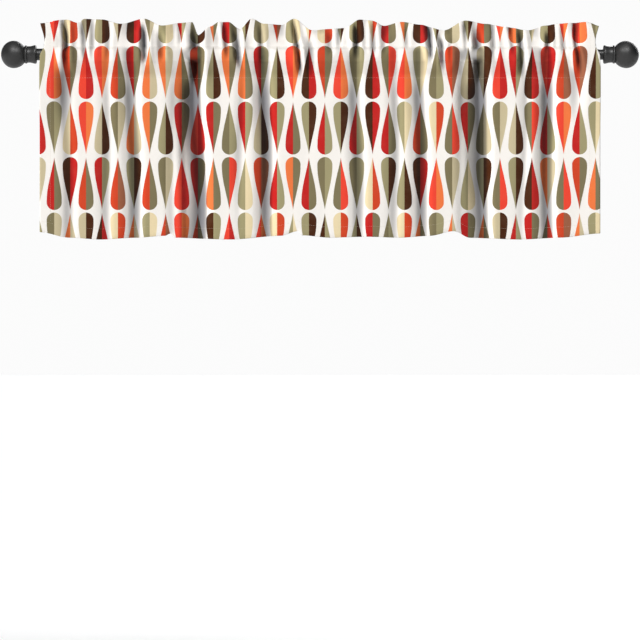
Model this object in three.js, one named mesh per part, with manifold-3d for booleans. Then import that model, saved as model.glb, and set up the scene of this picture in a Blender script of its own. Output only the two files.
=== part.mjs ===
// Rod-pocket window valance on a telescopic rod, with ball finials and two adjustable wall brackets.
// Millimetres. +X to the right as seen from the room, +Y into the wall, +Z up.
// Origin: on the wall plane, level with the rod, midway between the brackets.
import * as THREE from 'three';
import { mergeVertices } from 'three/addons/utils/BufferGeometryUtils.js';
import Module from 'manifold-3d';

const wasm = await Module();
wasm.setup();

// ---- driving dimensions ----
const GAP = 0.3; // running gap between neighbouring pieces
const PROJECTION = 90; // wall plane to rod axis
const ROD_Y = -PROJECTION;

const ROD_HALF = 612; // half of the 48 in closed rod
const OUTER_R = 12.7; // 1 in tube
const OUTER_BORE = 11.9;
const OUTER_RIGHT_END = 570; // mouth of the outer tube
const INNER_R = 11.4;
const INNER_BORE = 10.6;
const INNER_LEFT_END = -582; // hidden end of the inner tube
const ROD_SEGMENTS = 40;

const PLUG_LENGTH = 20;
const PLUG_BORE = 4.3;
const STUD_R = 4; // M8
const STUD_ENGAGED = 10; // length inside the end plug, 8 turns of 1.25
const STUD_IN_BALL = 26;

const COLLAR_LENGTH = 19.7;
const RING_R = 19.7;
const RING_LENGTH = 5.4;
const BALL_R = 29.6;
const BALL_INWARD = 30; // half-lengths of the ball along the rod, each side of its centre
const BALL_OUTWARD = 27;
const BALL_FROM_ROD_END = 49.8; // rod end to ball centre

const BRACKET_X = 592;
const PLATE_WIDTH = 22;
const PLATE_HEIGHT = 76;
const PLATE_THICK = 2.5;
const PLATE_SCREW_Z = 28;
const PLATE_HOLE_R = 2.6;
const SLEEVE_R = 8;
const SLEEVE_BORE = 6.3;
const SLEEVE_MOUTH = -52;
const ARM_R = 6;
const ARM_BACK = -20;
const LOCK_SCREW_Y = -46;
const CRADLE_R = 16;
const CRADLE_SEAT_R = 13.2;
const CRADLE_WIDTH = 12;
const CRADLE_BACK_TOP = 4;
const CRADLE_LIP_TOP = -1;
const THREAD_HOLE_R = 2.3;
const SCREW_R = 2;
const INNER_SIDE_RAISE = OUTER_R - INNER_R; // the thinner tube's cradle sits this much higher

const CLOTH_HALF = 604; // half of the hanging width
const SIDE_HEM = 25;
const BACK_STRIP_HALF = 576; // the back facing strip stops short of the brackets
const CLOTH_THICK = 0.9;
const HEM_THICK = 1.6;
const HEADER_SEAM_Z = 15;
const POCKET_SEAM_Z = -50;
const BOTTOM_HEM = 25;
const POCKET_BULGE = 17.5; // cloth in front of the rod axis, over the rod
const SEAM_OFFSET = 1.4; // each layer's distance from the rod's plane at a seam
const MARGIN_FRONT = 22; // the free side margins pass this far in front of the rod axis
const FULL_FOLD_Z = -150; // folds reach their full depth here
const SKIRT_SET_BACK = 8.4; // hangs the skirt's weight straight below the rod

// Heading edge: [x, z above the rod axis]
const HEADER_TOP = [
  [-606, 68], [-548, 75], [-522, 68], [-509, 77], [-470, 75], [-431, 66], [-380, 77], [-341, 62],
  [-302, 68], [-276, 70], [-263, 42], [-237, 60], [-218, 70], [-198, 70], [-173, 55], [-147, 77],
  [-121, 66], [-82, 64], [-56, 77], [-17, 52], [22, 55], [54, 57], [86, 75], [112, 73], [138, 62],
  [177, 70], [216, 64], [267, 52], [315, 73], [358, 66], [400, 59], [449, 52], [487, 62], [513, 66],
  [544, 68], [578, 70], [606, 62],
];

// Bottom edge: [x, z below the rod axis]
const HEM_LINE = [
  [-606, -384], [-540, -396], [-474, -400], [-395, -396], [-334, -392], [-323, -387], [-313, -396],
  [-194, -400], [-86, -392], [-47, -382], [-39, -391], [22, -396], [97, -394], [172, -396], [237, -392],
  [289, -382], [324, -396], [431, -400], [517, -396], [606, -387],
];

// Skirt folds, alternately towards the room (negative) and the wall (positive): [x, depth]
const FOLDS = [
  [-606, -10], [-574, -14], [-547, 3], [-509, -16], [-468, 1], [-444, -14], [-401, 7], [-375, -16],
  [-351, -12], [-336, -18], [-259, 19], [-231, -14], [-200, -19], [-168, -9], [-155, -14], [-125, 14],
  [-84, -16], [54, -19], [80, 4], [125, -18], [162, -5], [186, -17], [218, 5], [270, -18], [356, 19],
  [388, -16], [424, -14], [450, -6], [490, 13], [528, -16], [606, -9],
];

// Pocket wrap in front of the rod: [z, share of the bulge]
const POCKET_WRAP = [
  [15, 0], [13, 0.5], [8, 0.86], [0, 1], [-12, 0.97], [-26, 0.62], [-38, 0.3], [-50, 0],
];

// How far the free side edges are drawn in where the pocket gathers them: [z above the rod axis, inward]
const EDGE_IN = [[-30, 0], [-6, 1.2], [20, 11], [26, 11], [77, 0]];

const BLACK_METAL = { color: 0x262524, roughness: 0.42, metalness: 0.6 };
const BLACK_RESIN = { color: 0x2b2a29, roughness: 0.36, metalness: 0.1 };
const STEEL = { color: 0x9b9c9e, roughness: 0.35, metalness: 0.9 };
const NYLON = { color: 0x3a3a3a, roughness: 0.6, metalness: 0.0 };
const CLOTH = { color: 0xf4efe6, roughness: 0.9, metalness: 0.0 };
const FACING = { color: 0xefebe4, roughness: 0.92, metalness: 0.0 };

// ---- helpers ----
function smooth(t) {
  const c = Math.min(1, Math.max(0, t));
  return c * c * (3 - 2 * c);
}

function mix(a, b, t) {
  return a + (b - a) * t;
}

// Eased value of a table of [position, value] rows, whichever way it runs.
function along(table, at) {
  const rows = table[0][0] < table[table.length - 1][0] ? table : [...table].reverse();
  if (at <= rows[0][0]) return rows[0][1];
  for (let i = 1; i < rows.length; i += 1) {
    if (at <= rows[i][0]) {
      const t = (at - rows[i - 1][0]) / (rows[i][0] - rows[i - 1][0]);
      return mix(rows[i - 1][1], rows[i][1], smooth(t));
    }
  }
  return rows[rows.length - 1][1];
}

function piece(name, geometry, look) {
  const mesh = new THREE.Mesh(geometry, new THREE.MeshStandardMaterial(look));
  mesh.name = name;
  return mesh;
}

// Turned piece about +X from [x, radius] rows.
function turnedX(rows, segments = ROD_SEGMENTS) {
  const points = rows.map(([x, r]) => new THREE.Vector2(r, x));
  return new THREE.LatheGeometry(points, segments).rotateZ(-Math.PI / 2);
}

// Turned piece about +Z from [z, radius] rows.
function turnedZ(rows, segments = 20) {
  const points = rows.map(([z, r]) => new THREE.Vector2(r, z));
  return new THREE.LatheGeometry(points, segments).rotateX(Math.PI / 2);
}

// Turned piece about +Y from [y, radius] rows.
function turnedY(rows, segments = 24) {
  const points = rows.map(([y, r]) => new THREE.Vector2(r, y));
  return new THREE.LatheGeometry(points, segments);
}

function ringRows(a, b, bore, outer) {
  return [[a, bore], [a, outer], [b, outer], [b, bore], [a, bore]];
}

function rodRows(a, b, r) {
  return [[a, 0], [a, r], [b, r], [b, 0]];
}

function toManifold(geometry) {
  const bare = geometry.clone();
  bare.deleteAttribute('normal');
  bare.deleteAttribute('uv');
  const merged = mergeVertices(bare, 1e-4);
  return new wasm.Manifold(new wasm.Mesh({
    numProp: 3,
    vertProperties: new Float32Array(merged.attributes.position.array),
    triVerts: new Uint32Array(merged.index.array),
  }));
}

function cut(geometry, ...tools) {
  let solid = toManifold(geometry);
  for (const tool of tools) {
    solid = solid.subtract(toManifold(tool));
  }
  const mesh = solid.getMesh();
  const out = new THREE.BufferGeometry();
  out.setAttribute('position', new THREE.BufferAttribute(new Float32Array(mesh.vertProperties), 3));
  out.setIndex(new THREE.BufferAttribute(new Uint32Array(mesh.triVerts), 1));
  out.computeVertexNormals();
  return out;
}

// Closed thin solid around a mid-surface point(u, v) with u and v from 0 to 1.
function sheet(point, thick, nu, nv) {
  const step = 1e-3;
  const front = [];
  const back = [];
  for (let j = 0; j <= nv; j += 1) {
    for (let i = 0; i <= nu; i += 1) {
      const u = i / nu;
      const v = j / nv;
      const du = point(Math.min(1, u + step), v).sub(point(Math.max(0, u - step), v));
      const dv = point(u, Math.min(1, v + step)).sub(point(u, Math.max(0, v - step)));
      const normal = dv.cross(du).normalize().multiplyScalar(thick / 2);
      const p = point(u, v);
      front.push(p.clone().add(normal));
      back.push(p.sub(normal));
    }
  }
  const row = nu + 1;
  const count = front.length;
  const index = [];
  const quad = (a, b, c, d) => index.push(a, b, c, a, c, d);
  for (let j = 0; j < nv; j += 1) {
    for (let i = 0; i < nu; i += 1) {
      const a = j * row + i;
      quad(a, a + row, a + row + 1, a + 1);
      quad(a + count, a + 1 + count, a + row + 1 + count, a + row + count);
    }
  }
  for (let i = 0; i < nu; i += 1) {
    const top = i;
    const low = nv * row + i;
    quad(top, top + 1, top + 1 + count, top + count);
    quad(low, low + count, low + 1 + count, low + 1);
  }
  for (let j = 0; j < nv; j += 1) {
    const left = j * row;
    const right = left + nu;
    quad(left, left + count, left + row + count, left + row);
    quad(right, right + row, right + row + count, right + count);
  }
  const out = new THREE.BufferGeometry();
  out.setFromPoints([...front, ...back]);
  out.setIndex(index);
  out.computeVertexNormals();
  return out;
}

// ---- cloth surfaces, measured from the rod axis ----
function headerTop(x) {
  return along(HEADER_TOP, x);
}

function hemLine(x) {
  return along(HEM_LINE, x);
}

// 0 where the cloth is on the rod, 1 at the free side margins.
function marginShare(x) {
  return smooth((Math.abs(x) - 545) / 33);
}

function ruffle(x) {
  return 3.2 * Math.sin(x / 17) + 2 * Math.sin(x / 7.3 + 1);
}

function headerDepth(x, z) {
  const up = smooth((z - HEADER_SEAM_Z) / 50);
  const onRod = -SEAM_OFFSET + ruffle(x) * up;
  const margin = mix(-MARGIN_FRONT, -9, up);
  return mix(onRod, margin, marginShare(x));
}

function pocketDepth(x, z) {
  const onRod = -mix(SEAM_OFFSET, POCKET_BULGE, along(POCKET_WRAP, z));
  return mix(onRod, -MARGIN_FRONT, marginShare(x));
}

function skirtDepth(x, z) {
  const hangs = along(FOLDS, x) + SKIRT_SET_BACK;
  const onRod = mix(-SEAM_OFFSET, hangs, mix(0.25, 1, smooth((POCKET_SEAM_Z - z) / (POCKET_SEAM_Z - FULL_FOLD_Z))));
  const margin = mix(-MARGIN_FRONT, hangs, smooth((-70 - z) / 100));
  return mix(onRod, margin, marginShare(x));
}

function drawnIn(x, z) {
  const inner = CLOTH_HALF - SIDE_HEM;
  return x - Math.sign(x) * along(EDGE_IN, z) * Math.max(0, (Math.abs(x) - inner) / SIDE_HEM);
}

function frontDepth(x, z) {
  if (z >= HEADER_SEAM_Z) return headerDepth(x, z);
  if (z >= POCKET_SEAM_Z) return pocketDepth(x, z);
  const seam = pocketDepth(x, POCKET_SEAM_Z);
  return mix(seam, skirtDepth(x, z), smooth((POCKET_SEAM_Z - z) / 12));
}

// One patch of a cloth layer between two heights, each given as a function of x.
function patch(depth, x0, x1, topAt, lowAt, thick, nu, nv) {
  return sheet((u, v) => {
    const x = mix(x0, x1, u);
    const z = mix(topAt(x), lowAt(x), v);
    return new THREE.Vector3(drawnIn(x, z), ROD_Y + depth(x, z), z);
  }, thick, nu, nv);
}

function valance() {
  const group = new THREE.Group();
  group.name = 'valance';
  const inner = CLOTH_HALF - SIDE_HEM - GAP;
  const hemTop = (x) => hemLine(x) + BOTTOM_HEM;
  const at = (z) => () => z;
  const backDepth = (x, z) => headerDepth(x, z) + 2 * SEAM_OFFSET;
  const behind = (x, z) => mix(SEAM_OFFSET, POCKET_BULGE, along(POCKET_WRAP, z));
  group.add(piece('header_front',
    patch(headerDepth, -inner, inner, headerTop, at(HEADER_SEAM_Z + GAP), CLOTH_THICK, 100, 2), CLOTH));
  group.add(piece('header_back',
    patch(backDepth, -BACK_STRIP_HALF, BACK_STRIP_HALF, headerTop, at(HEADER_SEAM_Z + GAP),
      CLOTH_THICK, 100, 2), FACING));
  group.add(piece('pocket_front',
    patch(pocketDepth, -inner, inner, at(HEADER_SEAM_Z), at(POCKET_SEAM_Z), CLOTH_THICK, 44, 8), CLOTH));
  group.add(piece('pocket_back',
    patch(behind, -BACK_STRIP_HALF, BACK_STRIP_HALF, at(HEADER_SEAM_Z), at(POCKET_SEAM_Z),
      CLOTH_THICK, 12, 9), FACING));
  group.add(piece('skirt',
    patch(frontDepth, -inner, inner, at(POCKET_SEAM_Z - GAP), (x) => hemTop(x) + GAP, CLOTH_THICK, 100, 4),
    CLOTH));
  group.add(piece('bottom_hem',
    patch(frontDepth, -inner, inner, hemTop, hemLine, HEM_THICK, 100, 1), CLOTH));
  for (const [side, sign] of [['left', -1], ['right', 1]]) {
    const x0 = Math.min(sign * CLOTH_HALF, sign * (CLOTH_HALF - SIDE_HEM));
    group.add(piece(`side_hem_${side}`,
      patch(frontDepth, x0, x0 + SIDE_HEM, headerTop, hemLine, HEM_THICK, 2, 40), CLOTH));
  }
  return group;
}

// ---- rod ----
function rod() {
  const group = new THREE.Group();
  group.name = 'rod';
  group.position.y = ROD_Y;
  const plug = (bore) => ringRows(GAP, PLUG_LENGTH, PLUG_BORE, bore - GAP);
  const outerPlug = turnedX(plug(OUTER_BORE)).translate(-ROD_HALF, 0, 0);
  const innerPlug = turnedX(plug(INNER_BORE)).translate(ROD_HALF - PLUG_LENGTH - GAP, 0, 0);
  const cap = [
    [INNER_LEFT_END - 3, 0], [INNER_LEFT_END - 3, OUTER_BORE - GAP], [INNER_LEFT_END - GAP, OUTER_BORE - GAP],
    [INNER_LEFT_END - GAP, INNER_BORE - GAP], [INNER_LEFT_END + 15, INNER_BORE - GAP],
    [INNER_LEFT_END + 15, 0],
  ];
  group.add(piece('outer_tube',
    turnedX(ringRows(-ROD_HALF, OUTER_RIGHT_END, OUTER_BORE, OUTER_R)), BLACK_METAL));
  group.add(piece('inner_tube',
    turnedX(ringRows(INNER_LEFT_END, ROD_HALF, INNER_BORE, INNER_R)), BLACK_METAL));
  group.add(piece('outer_end_plug', outerPlug, NYLON));
  group.add(piece('inner_end_plug', innerPlug, NYLON));
  group.add(piece('inner_glide_cap', turnedX(cap), NYLON));
  return group;
}

// Drawn for the right-hand end with x counted from the rod end, and turned round for the left.
function finial(side, sign) {
  const group = new THREE.Group();
  group.name = `${side}_finial`;
  group.position.set(sign * ROD_HALF, ROD_Y, 0);
  group.rotation.z = sign > 0 ? 0 : Math.PI;
  const bore = STUD_R + GAP;
  const collar = [
    [GAP, bore], [GAP, 18.8], [0.8, 19.6], [1.9, 20.1], [3.6, 20.1], [5.6, 19.7], [8, 19.1], [10.5, 18.5],
    [13, 18.1], [16, 17.75], [18.5, 17.8], [COLLAR_LENGTH, 18], [COLLAR_LENGTH, bore], [GAP, bore],
  ];
  const ringStart = COLLAR_LENGTH + GAP;
  const ringEnd = ringStart + RING_LENGTH;
  const ball = [
    [ringStart + STUD_IN_BALL - 18, 0], [ringStart + STUD_IN_BALL - 18, bore], [ringStart, bore],
    [ringStart, RING_R - 1.5], [ringStart + 0.6, RING_R - 0.6], [ringStart + 1.8, RING_R],
    [ringEnd - 1.8, RING_R], [ringEnd - 0.7, RING_R - 0.6],
  ];
  const first = Math.acos((BALL_FROM_ROD_END - ringEnd - 0.4) / BALL_INWARD);
  const steps = 14;
  for (let i = 0; i <= steps; i += 1) {
    const a = mix(first, Math.PI, i / steps);
    const half = a < Math.PI / 2 ? BALL_INWARD : BALL_OUTWARD;
    ball.push([BALL_FROM_ROD_END - half * Math.cos(a), i === steps ? 0 : BALL_R * Math.sin(a)]);
  }
  const stud = [
    [-STUD_ENGAGED, 0], [-STUD_ENGAGED, STUD_R - 0.8], [-STUD_ENGAGED + 0.8, STUD_R],
    [ringStart + STUD_IN_BALL - 18 - GAP, STUD_R], [ringStart + STUD_IN_BALL - 18 - GAP, 0],
  ];
  group.add(piece(`${side}_finial_collar`, turnedX(collar, 36), BLACK_METAL));
  group.add(piece(`${side}_finial_ball`, turnedX(ball, 30), BLACK_RESIN));
  group.add(piece(`${side}_finial_stud`, turnedX(stud, 24), STEEL));
  return group;
}

// ---- brackets ----
function wallPlate() {
  const w = PLATE_WIDTH / 2;
  const h = PLATE_HEIGHT / 2 - w;
  const outline = new THREE.Shape();
  outline.moveTo(-w, -h);
  outline.absarc(0, -h, w, Math.PI, 2 * Math.PI, false);
  outline.absarc(0, h, w, 0, Math.PI, false);
  outline.closePath();
  for (const z of [-PLATE_SCREW_Z, PLATE_SCREW_Z]) {
    const hole = new THREE.Path();
    hole.absarc(0, z, PLATE_HOLE_R, 0, 2 * Math.PI, true);
    outline.holes.push(hole);
  }
  const options = { depth: PLATE_THICK, bevelEnabled: false, curveSegments: 10 };
  return new THREE.ExtrudeGeometry(outline, options).rotateX(Math.PI / 2);
}

// Open-topped cradle in the plane across the rod, about the rod axis.
function cradle() {
  const outline = new THREE.Shape();
  outline.moveTo(CRADLE_SEAT_R, CRADLE_BACK_TOP);
  outline.lineTo(CRADLE_SEAT_R, 0);
  outline.absarc(0, 0, CRADLE_SEAT_R, 0, Math.PI, true);
  outline.lineTo(-CRADLE_SEAT_R, CRADLE_LIP_TOP + 2);
  outline.lineTo(-CRADLE_R, CRADLE_LIP_TOP + 1);
  outline.lineTo(-CRADLE_R, 0);
  outline.absarc(0, 0, CRADLE_R, Math.PI, 2 * Math.PI, false);
  outline.lineTo(CRADLE_R, CRADLE_BACK_TOP);
  outline.closePath();
  const options = { depth: CRADLE_WIDTH, bevelEnabled: false, curveSegments: 14 };
  const across = new THREE.Matrix4().makeBasis(
    new THREE.Vector3(0, 1, 0), new THREE.Vector3(0, 0, 1), new THREE.Vector3(1, 0, 0));
  const body = new THREE.ExtrudeGeometry(outline, options).translate(0, 0, -CRADLE_WIDTH / 2);
  return cut(body.applyMatrix4(across), turnedZ(rodRows(-CRADLE_R - 2, -CRADLE_SEAT_R + 2, THREAD_HOLE_R)));
}

// Knurled thumb screw pointing up, tip at z = 0.
function thumbScrew(shank, head) {
  return turnedZ([
    [-shank - head, 0], [-shank - head, 3.8], [-shank - head + 1, 5], [-shank - 1, 5], [-shank, 3.8],
    [-shank, SCREW_R], [-0.5, SCREW_R], [0, SCREW_R - 0.5], [0, 0],
  ]);
}

// Countersunk wood screw seated in the wall plate, its point in the wall.
function wallScrew() {
  return turnedY([
    [-PLATE_THICK - 2.4, 0], [-PLATE_THICK - 2.4, 2.6], [-PLATE_THICK - 1.4, 4], [-PLATE_THICK - GAP, 4],
    [-PLATE_THICK - GAP, 2], [16, 2], [24, 0],
  ], 16);
}

function bracket(side, sign) {
  const group = new THREE.Group();
  group.name = `${side}_bracket`;
  group.position.x = sign * BRACKET_X;
  const raise = sign > 0 ? INNER_SIDE_RAISE : 0;
  const sleeve = turnedY(ringRows(SLEEVE_MOUTH, -PLATE_THICK - GAP, SLEEVE_BORE, SLEEVE_R));
  const lockHole = turnedZ(rodRows(-SLEEVE_R - 2, -SLEEVE_BORE + 2, THREAD_HOLE_R)).translate(0, LOCK_SCREW_Y, 0);
  group.add(piece(`${side}_wall_plate`, wallPlate(), BLACK_METAL));
  group.add(piece(`${side}_arm_sleeve`, cut(sleeve, lockHole), BLACK_METAL));
  const armFront = ROD_Y + CRADLE_R + GAP;
  const arm = piece(`${side}_cradle_arm`, turnedY(rodRows(armFront, ARM_BACK, ARM_R)), BLACK_METAL);
  group.add(arm);
  const seat = piece(`${side}_rod_cradle`, cradle(), BLACK_METAL);
  seat.position.set(0, ROD_Y, raise);
  group.add(seat);
  const lock = piece(`${side}_sleeve_lock_screw`, thumbScrew(7, 7), STEEL);
  lock.position.set(0, LOCK_SCREW_Y, -ARM_R - GAP);
  group.add(lock);
  const set = piece(`${side}_cradle_set_screw`, thumbScrew(7, 6), STEEL);
  set.position.set(0, ROD_Y, raise - OUTER_R - GAP);
  group.add(set);
  for (const [place, z] of [['upper', PLATE_SCREW_Z], ['lower', -PLATE_SCREW_Z]]) {
    const screw = piece(`${side}_wall_screw_${place}`, wallScrew(), STEEL);
    screw.position.z = z;
    group.add(screw);
  }
  return group;
}

const model = new THREE.Group();
model.name = 'rod_pocket_valance';
model.add(valance());
model.add(rod());
model.add(finial('left', -1));
model.add(finial('right', 1));
model.add(bracket('left', -1));
model.add(bracket('right', 1));

export default model;
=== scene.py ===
"""Rod-pocket window valance on a telescopic rod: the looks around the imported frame.

Metres. +X is right as seen from the room, +Y goes into the wall, +Z is up.
"""

import math

import bmesh
import bpy
import numpy as np
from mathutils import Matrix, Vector
from mathutils.bvhtree import BVHTree


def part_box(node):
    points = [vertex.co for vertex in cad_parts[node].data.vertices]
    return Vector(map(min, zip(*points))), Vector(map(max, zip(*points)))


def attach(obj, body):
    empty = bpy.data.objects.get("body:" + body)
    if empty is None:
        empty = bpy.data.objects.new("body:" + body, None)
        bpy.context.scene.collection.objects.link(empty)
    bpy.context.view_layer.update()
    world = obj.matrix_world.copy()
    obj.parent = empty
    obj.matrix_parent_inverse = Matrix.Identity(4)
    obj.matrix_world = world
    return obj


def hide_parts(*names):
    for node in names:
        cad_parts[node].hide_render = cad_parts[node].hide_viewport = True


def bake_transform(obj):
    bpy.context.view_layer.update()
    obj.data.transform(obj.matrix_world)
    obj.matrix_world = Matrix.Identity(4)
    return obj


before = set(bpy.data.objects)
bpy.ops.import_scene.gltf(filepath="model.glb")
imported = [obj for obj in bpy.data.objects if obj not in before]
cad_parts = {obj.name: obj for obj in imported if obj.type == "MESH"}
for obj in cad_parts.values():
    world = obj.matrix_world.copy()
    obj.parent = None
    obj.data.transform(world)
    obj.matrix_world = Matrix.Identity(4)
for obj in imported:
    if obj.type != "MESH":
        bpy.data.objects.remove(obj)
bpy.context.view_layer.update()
MM = 0.001


def middle(node):
    lo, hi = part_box(node)
    return (Vector(lo) + Vector(hi)) / 2


ROD = middle("outer_tube")
ROD_Y, ROD_Z = ROD.y, ROD.z

# ------------------------------------------------------------------ camera, stage and light
VIEW_WIDTH = 1.3805  # what the picture's width takes in at the valance
CAMERA_DROP = 0.5735  # camera height below the rod
CLOTH_AHEAD = 0.01  # the hanging cloth's place in front of the rod's axis
LENS = 200.0
SENSOR = 36.0
FLOOR_Z = -1.16

camera = bpy.data.objects.new("camera", bpy.data.cameras.new("camera"))
bpy.context.scene.collection.objects.link(camera)
camera.data.lens = LENS
camera.data.sensor_width = SENSOR
camera.location = (0.0, ROD_Y - CLOTH_AHEAD - VIEW_WIDTH * LENS / SENSOR, ROD_Z - CAMERA_DROP)
camera.rotation_euler = (math.pi / 2, 0, 0)
camera.data.clip_end = 200
bpy.context.scene.camera = camera
bpy.context.scene.view_settings.view_transform = "Standard"


# ------------------------------------------------------------------ node helpers
class Nodes:
    """Short calls for a node tree: each returns an output socket."""

    def __init__(self, tree):
        self.tree = tree
        tree.nodes.clear()

    def new(self, kind, **settings):
        node = self.tree.nodes.new(kind)
        for key, value in settings.items():
            setattr(node, key, value)
        return node

    def put(self, socket, value):
        if isinstance(value, bpy.types.NodeSocket):
            self.tree.links.new(value, socket)
        elif value is not None:
            socket.default_value = value

    def math(self, operation, a, b=None, c=None, clamp=False):
        node = self.new("ShaderNodeMath", operation=operation, use_clamp=clamp)
        for socket, value in zip(node.inputs, (a, b, c)):
            self.put(socket, value)
        return node.outputs[0]

    def mix(self, factor, a, b, blend="MIX"):
        node = self.new("ShaderNodeMix", data_type="RGBA", blend_type=blend)
        self.put(node.inputs[0], factor)
        self.put(node.inputs[6], a)
        self.put(node.inputs[7], b)
        return node.outputs[2]

    def ramp(self, factor, stops, interpolation="LINEAR"):
        node = self.new("ShaderNodeValToRGB")
        node.color_ramp.interpolation = interpolation
        elements = node.color_ramp.elements
        while len(elements) < len(stops):
            elements.new(0.5)
        for element, (position, colour) in zip(elements, stops):
            element.position = position
            element.color = colour
        self.put(node.inputs[0], factor)
        return node.outputs[0]

    def noise(self, vector, scale, detail=2.0, rough=0.5):
        node = self.new("ShaderNodeTexNoise")
        self.put(node.inputs["Vector"], vector)
        node.inputs["Scale"].default_value = scale
        node.inputs["Detail"].default_value = detail
        node.inputs["Roughness"].default_value = rough
        return node.outputs["Fac"]

    def combine(self, x, y, z=0.0):
        node = self.new("ShaderNodeCombineXYZ")
        for socket, value in zip(node.inputs, (x, y, z)):
            self.put(socket, value)
        return node.outputs[0]

    def bump(self, height, strength, distance, normal=None):
        node = self.new("ShaderNodeBump")
        node.inputs["Strength"].default_value = strength
        node.inputs["Distance"].default_value = distance
        self.put(node.inputs["Height"], height)
        self.put(node.inputs["Normal"], normal)
        return node.outputs[0]

    def surface(self, **inputs):
        shader = self.new("ShaderNodeBsdfPrincipled")
        out = self.new("ShaderNodeOutputMaterial")
        for key, value in inputs.items():
            self.put(shader.inputs[key.replace("_", " ")], value)
        self.tree.links.new(shader.outputs[0], out.inputs[0])
        return shader


def linear(r, g, b):
    def one(c):
        c /= 255.0
        return c / 12.92 if c <= 0.04045 else ((c + 0.055) / 1.055) ** 2.4

    return (one(r), one(g), one(b), 1.0)


def material(name):
    made = bpy.data.materials.new(name)
    made.use_nodes = True
    return made, Nodes(made.node_tree)


# ------------------------------------------------------------------ materials
PALETTE = {
    "umber": linear(70, 33, 8),
    "rosewood": linear(158, 96, 68),
    "crimson": linear(197, 32, 30),
    "vermilion": linear(243, 70, 50),
    "rust": linear(213, 69, 36),
    "orange": linear(246, 124, 66),
    "olive": linear(164, 155, 116),
    "moss": linear(128, 118, 86),
    "sand": linear(206, 192, 156),
    "cream": linear(239, 220, 177),
}
LEFT_HALVES = (
    "moss vermilion olive crimson umber sand rust moss orange "
    "vermilion olive crimson cream rust moss umber orange olive"
).split()
RIGHT_HALVES = (
    "olive orange umber moss crimson umber rosewood sand moss "
    "crimson cream olive rust moss vermilion olive sand umber"
).split()

PITCH_X = 34.34 * MM  # between columns of drops
PITCH_Z = 119.7 * MM  # between rows
COLUMN_AT = -573.3 * MM  # centre of one column
ROW_AT = 20.1 * MM  # boundary between two rows
ROUND_R = 16.2 * MM  # round end of a drop
ROUND_GAP = 2.7 * MM  # from a row's boundary to the round end
TIP_GAP = 3.6 * MM  # from the other boundary to the point
TAPER_SWELL = 1.17  # how far the sides bulge between the round end and the point
PRINT_BLEED = 0.7 * MM  # soft edge of the dye
HALVES_MEET = 0.5 * MM  # soft line between a drop's two colours
RAGGED = 0.5 * MM
YARN_PITCH = 0.62 * MM
SLUB_STRETCH = 0.06
CLOTH_WHITE = linear(252, 247, 241)
CLOTH_CREAM = linear(236, 226, 212)
BARE_YARN = linear(196, 172, 140)
PAINTED_FOLD_SHADE = (0.19, 0.2, 0.23, 1)  # painted shade: the colour multiplied into the cloth deep between folds, where it faces away from the light


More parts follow.
